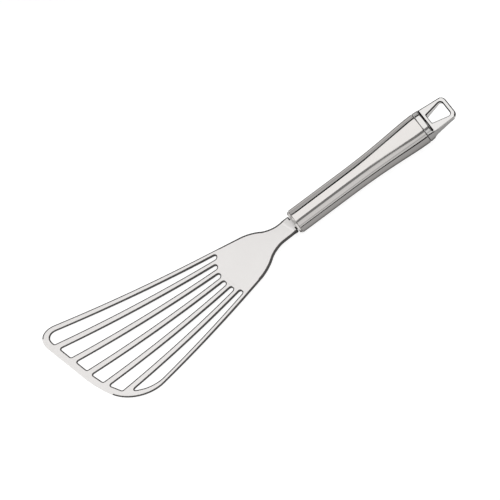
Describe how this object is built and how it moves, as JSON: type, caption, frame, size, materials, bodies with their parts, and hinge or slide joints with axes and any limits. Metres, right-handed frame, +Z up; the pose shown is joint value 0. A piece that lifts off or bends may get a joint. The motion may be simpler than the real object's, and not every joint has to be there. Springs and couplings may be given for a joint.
{
  "type": "slotted turner",
  "caption": "Steel kitchen turner with a broad, gently bowed blade, a fan of tapered slots, a slanted front edge and a flared tube handle that ends in a scooped tongue with a hanging eye",
  "frame": {"origin": "on the ground plane, under the middle of the tool's box, with the tool lying on its back", "axes": "+X along the handle from the blade to the hanging eye, +Y to the blade's long side, +Z up"},
  "size_m": [0.3306, 0.0908, 0.0239],
  "materials": {
    "satin_steel": "fine satin",
    "brushed_steel": "brushed round the handle",
    "core_plastic": "moulded",
    "polished_steel": "polished"
  },
  "bodies": {
    "root": {"blade": "satin_steel", "front_ferrule": "brushed_steel", "handle_tube": "brushed_steel", "tang_core": "core_plastic", "end_cap": "polished_steel"}
  },
  "joints": []
}
